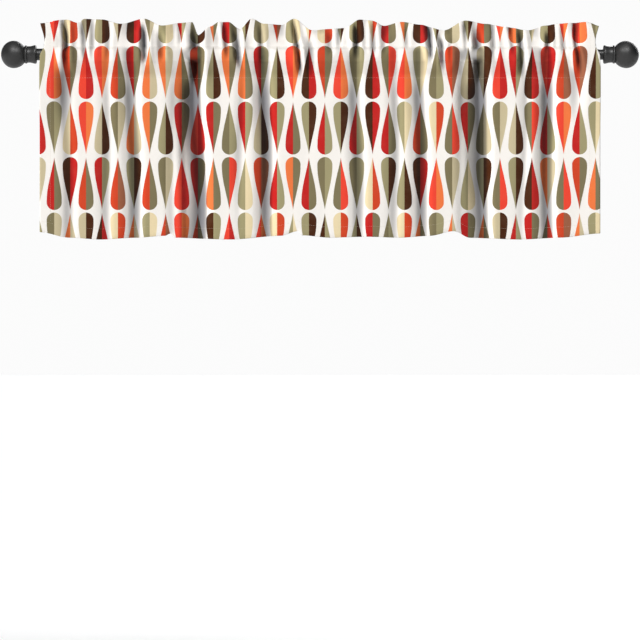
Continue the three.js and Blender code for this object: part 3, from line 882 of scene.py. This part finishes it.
def pocket_depth(x, z):
    full = wrap(z)
    end = np.where(z > POCKET_MIDDLE, seam_top(z) + creases(x, z), seam_depth(x, z))
    gathered = 1 + np.sin(x / 13.0 + 0.6 * np.sin(x / 41.0))
    over = -(POCKET_BULGE + 7.0) - gathered + creases(x, z) + POCKET_FOLLOWS * valleys(x, z)
    return mix(mix(end, over, full), -MARGIN_FRONT + 0.35 * creases(x, z), margin_share(x))


def skirt_depth(x, z):
    hangs = SKIRT_FRONT + valleys(x, z)
    hangs = hangs + 0.4 * np.sin(x / 23.0 + z / 70.0) + 0.25 * np.sin(x / 11.0 - z / 45.0)
    on_rod = mix(seam_depth(x, z), hangs, smooth((POCKET_SEAM - z) / 45.0))
    margin = mix(-MARGIN_FRONT, hangs, smooth((-70 - z) / 100))
    return mix(on_rod, margin, margin_share(x))


def held_off(depth, z, side):
    """Keeps a layer off the rod, easing into its curve. side is -1 in front and 1 behind."""
    clear = np.sqrt(np.clip(CLEAR_OF_ROD**2 - z * z, 0, None))
    near = np.abs(z) < CLEAR_OF_ROD
    d = side * depth
    eased = clear + np.log1p(np.exp(np.clip((d - clear) / 1.2, -30, 30))) * 1.2
    return np.where(near, side * eased, depth)


def front_depth(x, z):
    below = np.where(z >= POCKET_SEAM, pocket_depth(x, z), skirt_depth(x, z))
    return held_off(np.where(z >= HEADER_SEAM, header_depth(x, z), below), z, -1)


def back_depth(x, z):
    full = wrap(z)
    up = smooth((z - HEADER_SEAM) / 12)
    seam = seam_depth(x, z)
    # the steeper the fold, the further back its second layer has to lie for their thicknesses to clear
    steep = np.hypot(1, np.gradient(seam, x))
    behind_seam = seam + 0.6 + 2.2 * CLOTH_THICK * steep
    end = np.where(z > POCKET_MIDDLE, seam_top(z) + creases(x, z) + 2.8, behind_seam)
    behind = mix(end, POCKET_BULGE - 1.5 + 0.7 * np.sin(x / 15.0), full)
    header = header_depth(x, z) + mix(2.8, 2.4, up)
    return np.where(z >= HEADER_SEAM, header, held_off(behind, z, 1))


FOLD_BACK = 1.4  # turned side hem, behind the front
FOLD_UP = 2.2  # turned bottom hem, behind the front and the side hems
COLUMNS = 405
PAINTED_SHADE_FULL = 3.8  # depth behind its surroundings at which a spot takes most of the painted fold shade
FOLD_REACH = 12  # columns each side that a spot's depth is compared with


def sheet_rows(xs):
    """Every row of the cloth from the facing's lower edge over the top and down to the turned-up hem.

    Each is (height, depth, height in the print, kind).
    """
    top = along(HEADER_TOP, xs) - 1.2
    hem = along(HEM_LINE, xs) + 0.9
    rows = []

    def level(value):
        return np.full(len(xs), float(value))

    for z in np.linspace(POCKET_SEAM - 5, HEADER_SEAM, 22):
        rows.append((level(z), back_depth(xs, level(z)), 2 * top - z, "facing"))
    for s in np.linspace(0, 1, 10)[1:]:
        z = mix(level(HEADER_SEAM), top, s)
        rows.append((z, back_depth(xs, z), 2 * top - z, "facing"))
    back, front = back_depth(xs, top), front_depth(xs, top)
    for a in (40, 90, 140):
        c, s = math.cos(math.radians(a)), math.sin(math.radians(a))
        rows.append((top + 1.2 * s, (back + front) / 2 + (back - front) / 2 * c, top + 1.2, "roll"))
    for s in np.linspace(1, 0, 14):
        z = mix(level(HEADER_SEAM), top, s)
        rows.append((z, front_depth(xs, z), z, "front"))
    for z in np.linspace(HEADER_SEAM, POCKET_SEAM, 24)[1:]:
        rows.append((level(z), front_depth(xs, level(z)), level(z), "front"))
    for s in np.linspace(0, 1, 40)[1:] ** 1.15:
        z = mix(level(POCKET_SEAM), hem, s)
        rows.append((z, front_depth(xs, z), z, "front"))
    depth = front_depth(xs, hem)
    for a in (60, 120):
        c, s = math.cos(math.radians(a)), math.sin(math.radians(a))
        rows.append((hem - 0.9 * s, depth + FOLD_UP / 2 * (1 - c), hem - 1.4 * a / 90, "hem"))
    for up in np.linspace(0, BOTTOM_HEM, 6):
        z = hem + up
        rows.append((z, front_depth(xs, z) + FOLD_UP, hem - 2.8 - up, "hem"))
    return rows


def valance():
    xs = np.linspace(-HALF, HALF, COLUMNS)
    kernel = np.exp(-0.5 * (np.arange(-4, 5) / 1.1) ** 2)
    kernel /= kernel.sum()
    # the side hems: (x of the column it lies behind, share of the way back, how far on in the print)
    turn = [(HALF, 0.3, 0.5), (HALF, 0.8, 1.2)]
    turn += [(HALF - w, 1.0, 2.0 + w) for w in np.linspace(1, SIDE_HEM, 5)]
    grid, kinds = [], []
    for z, depth, print_z, kind in sheet_rows(xs):
        soft = np.convolve(np.pad(depth, 4, mode="edge"), kernel, mode="valid")
        reach = np.clip((np.abs(xs) - (HALF - EDGE_REACH)) / EDGE_REACH, 0, 1)
        across = xs - np.sign(xs) * along(EDGE_IN, z) * reach
        line = list(zip(across, soft, z, across, np.broadcast_to(print_z, xs.shape)))
        hems = {}
        for side in (-1, 1):
            strip = []
            for at, share, on in turn:
                y = float(np.interp(side * at, xs, soft)) + FOLD_BACK * share
                height = float(np.interp(side * at, xs, z))
                bulge = 0.7 if share < 1 else 0.0
                x = float(np.interp(side * at, xs, across)) + side * bulge
                low = float(np.interp(side * at, xs, np.broadcast_to(print_z, xs.shape)))
                strip.append((x, y, height, side * (HALF + on), low))
            hems[side] = strip
        grid.append(hems[-1][::-1] + line + hems[1])
        kinds.append(kind)
    grid = np.array(grid)
    rows, columns = grid.shape[:2]
    # how far each spot lies behind its surroundings, which sets how much painted shade it takes in the folds
    body = grid[:, :, 1]
    blur = np.pad(body, ((0, 0), (FOLD_REACH, FOLD_REACH)), mode="edge")
    blur = sum(blur[:, i : i + columns] for i in range(2 * FOLD_REACH + 1)) / (2 * FOLD_REACH + 1)
    front = np.array([k in ("front", "roll") for k in kinds])[:, None]
    painted_shade = (1 - np.exp(-np.maximum(body - blur - 0.3, 0) / PAINTED_SHADE_FULL)) * front
    verts = [(x * MM, ROD_Y + y * MM, ROD_Z + z * MM) for x, y, z, _, _ in grid.reshape(-1, 5)]
    print_at_and_painted_shade = np.stack([grid[:, :, 3] * MM, grid[:, :, 4] * MM, painted_shade], axis=-1)
    hem_columns = len(turn)
    spacing = xs[1] - xs[0]
    faces = []
    for j in range(rows - 1):
        ends = {kinds[j], kinds[j + 1]}
        narrow = "facing" in ends or "roll" in ends
        for i in range(columns - 1):
            in_hem = i < hem_columns or i >= columns - 1 - hem_columns
            if in_hem and ("hem" in ends or narrow):
                continue
            if narrow and abs(i - (columns - 2) / 2) * spacing > BACK_HALF:
                continue
            a = j * columns + i
            faces.append((a, a + 1, a + 1 + columns, a + columns))
    panel = add_mesh("valance_panel", verts, faces, [CLOTH, REVERSE])
    panel.data.attributes.new("print_at_and_painted_shade", "FLOAT_VECTOR", "POINT")
    panel.data.attributes["print_at_and_painted_shade"].data.foreach_set("vector", print_at_and_painted_shade.astype(np.float32).ravel())
    bm = bmesh.new()
    bm.from_mesh(panel.data)
    bmesh.ops.delete(bm, geom=[v for v in bm.verts if not v.link_faces], context="VERTS")
    bm.to_mesh(panel.data)
    bm.free()
    # the printed face looks to the room on the front and to the wall on the facing
    middle_face = min(panel.data.polygons, key=lambda p: abs(p.center.x) + abs(p.center.z + 0.2))
    if middle_face.normal.y > 0:
        panel.data.flip_normals()
    solid = panel.modifiers.new("thickness", "SOLIDIFY")
    solid.thickness = CLOTH_THICK * MM
    solid.offset = -1.0
    solid.material_offset = 1
    solid.use_even_offset = False
    # the thickness is part of the mesh before the joints bend it, so that it doesn't grow in narrowed folds
    depsgraph = bpy.context.evaluated_depsgraph_get()
    thick = bpy.data.meshes.new_from_object(
        panel.evaluated_get(depsgraph), preserve_all_data_layers=True, depsgraph=depsgraph
    )
    panel.modifiers.clear()
    panel.data = thick
    return panel


panel = valance()


def gather(piece, *nodes):
    """Hides the frame's nodes that the cloth replaces and bakes its placement into the mesh. The cloth is
    drawn in between the left edge and the sliding right edge.
    """
    if nodes:
        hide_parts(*nodes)
    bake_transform(piece)


gather(
    panel, "header_front", "header_back", "pocket_front", "pocket_back", "skirt", "bottom_hem",
    "side_hem_left", "side_hem_right",
)


# ------------------------------------------------------------------ stitching
STITCH = 2.9
STITCH_GAP = 0.9
THREAD_R = 0.13
THREAD_SIDES = 6
# share of a stitch's length, how far its thread stands off the cloth
STITCH_LINE = [(0.0, -0.25), (0.18, 0.1), (0.5, 0.2), (0.82, 0.1), (1.0, -0.25)]
BEFORE_CLOTH = -0.4  # a y well in front of everything


def stitched(name, points, surface):
    """Short thread loops lying on the cloth along a line of (x, z) points."""
    verts, faces = [], []
    for (xa, za), (xb, zb) in points:
        line = []
        for share, lift in STITCH_LINE:
            start = Vector((mix(xa, xb, share) * MM, BEFORE_CLOTH, ROD_Z + mix(za, zb, share) * MM))
            hit = surface.ray_cast(start, Vector((0, 1, 0)))[0]
            if hit is None:
                break
            line.append(hit + Vector((0, -lift * MM, 0)))
        if len(line) < len(STITCH_LINE):
            continue
        out = Vector((0, -1, 0))
        across = (line[-1] - line[0]).normalized().cross(out).normalized()
        base, sides, last = len(verts), THREAD_SIDES, len(line) - 1
        for k, centre in enumerate(line):
            r = THREAD_R * MM * (0.6 if k in (0, last) else 1.0)
            for q in range(sides):
                a = 2 * math.pi * q / sides
                verts.append(centre + across * (r * math.cos(a)) + out * (r * math.sin(a)))
        for k in range(last):
            for q in range(sides):
                a, b = base + sides * k + q, base + sides * k + (q + 1) % sides
                faces.append((a, b, b + sides, a + sides))
        faces.append(tuple(base + q for q in range(sides)))
        faces.append(tuple(base + sides * last + q for q in reversed(range(sides))))
    obj = add_mesh(name, verts, faces, [THREAD])
    gather(obj)
    return obj


def run(start, end, at, upright=False):
    """Stitches from one place to another. at gives the other coordinate."""
    out, a = [], start
    while a + STITCH < end:
        b = a + STITCH
        out.append(((at(a), a), (at(b), b)) if upright else ((a, at(a)), (b, at(b))))
        a = b + STITCH_GAP
    return out


def hem_seam(x):
    return float(along(HEM_LINE, np.array([x]))[0]) + BOTTOM_HEM - 2.0


surface = BVHTree.FromPolygons(
    [v.co.copy() for v in panel.data.vertices], [tuple(p.vertices) for p in panel.data.polygons]
)
SEAM_HALF, HEM_HALF = 575, 601  # half-lengths of the seams across
stitching = [
    stitched("stitching_header_seam", run(-SEAM_HALF, SEAM_HALF, lambda x: HEADER_SEAM + 0.5), surface),
    stitched("stitching_pocket_seam", run(-SEAM_HALF, SEAM_HALF, lambda x: POCKET_SEAM - 1.0), surface),
    stitched("stitching_bottom_hem", run(-HEM_HALF, HEM_HALF, hem_seam), surface),
]
for side, word in ((-1, "left"), (1, "right")):
    line = run(-360, 66, lambda z: side * (HALF - SIDE_HEM + 2.5), upright=True)
    stitching.append(stitched(f"stitching_{word}_hem", line, surface))


# ------------------------------------------------------------------ floor and light
def floor():
    size = 30.0
    obj = add_mesh(
        "floor", [(x * size, y * size, FLOOR_Z) for x, y in ((-1, -1), (1, -1), (1, 1), (-1, 1))],
        [(0, 1, 2, 3)], [],
    )
    made, n = material("pale_floor")
    at = n.new("ShaderNodeTexCoord").outputs["Object"]
    tone = n.mix(n.noise(at, 3.0, 3.0), (0.86, 0.86, 0.86, 1), (0.92, 0.92, 0.915, 1))
    n.surface(Base_Color=tone, Roughness=0.8, Emission_Color=tone, Emission_Strength=0.55)
    obj.data.materials.append(made)
    obj.visible_diffuse = False


floor()

world = bpy.data.worlds.new("studio")
bpy.context.scene.world = world
world.use_nodes = True
w = Nodes(world.node_tree)
ambient = w.new("ShaderNodeBackground")
ambient.inputs[0].default_value = (0.78, 0.89, 1.0, 1)
ambient.inputs[1].default_value = 0.08
backdrop = w.new("ShaderNodeBackground")
backdrop.inputs[0].default_value = (1, 1, 1, 1)
backdrop.inputs[1].default_value = 0.97
seen = w.new("ShaderNodeLightPath").outputs["Is Camera Ray"]
blend = w.new("ShaderNodeMixShader")
w.put(blend.inputs[0], seen)
w.tree.links.new(ambient.outputs[0], blend.inputs[1])
w.tree.links.new(backdrop.outputs[0], blend.inputs[2])
w.tree.links.new(blend.outputs[0], w.new("ShaderNodeOutputWorld").inputs[0])


def lamp(kind, name, at, towards, energy, colour):
    data = bpy.data.lights.new(name, kind)
    data.energy = energy
    data.color = colour
    obj = bpy.data.objects.new(name, data)
    bpy.context.scene.collection.objects.link(obj)
    obj.location = at
    obj.rotation_mode = "QUATERNION"
    obj.rotation_quaternion = Vector(towards).to_track_quat("-Z", "Y")
    return obj


# The key comes from the left, so that the folds show. The softboxes, not the key, are what the gloss reflects
key = lamp("SUN", "key", (-3, -3, 2), (0.68, 0.73, -0.1), 3.9, (1.0, 0.995, 0.985))
key.data.angle = math.radians(14)
key.visible_glossy = False
back = lamp("SUN", "back", (2, 3, 2), (-0.35, -0.85, -0.4), 2.2, (1, 1, 1))
back.data.angle = math.radians(35)
top = lamp("SUN", "top", (0, 0, 3), (0, 0.12, -1), 0.2, (1, 1, 1))
top.data.angle = math.radians(40)
for side in (-1, 1):
    place, aim = (side * 0.75, -1.9, 1.55), (-side * 0.06, 1.8, -1.6)
    box = lamp("AREA", f"softbox_{side}", place, aim, 40.0, (1, 1, 1))
    box.data.size = 0.9
    box.visible_diffuse = False
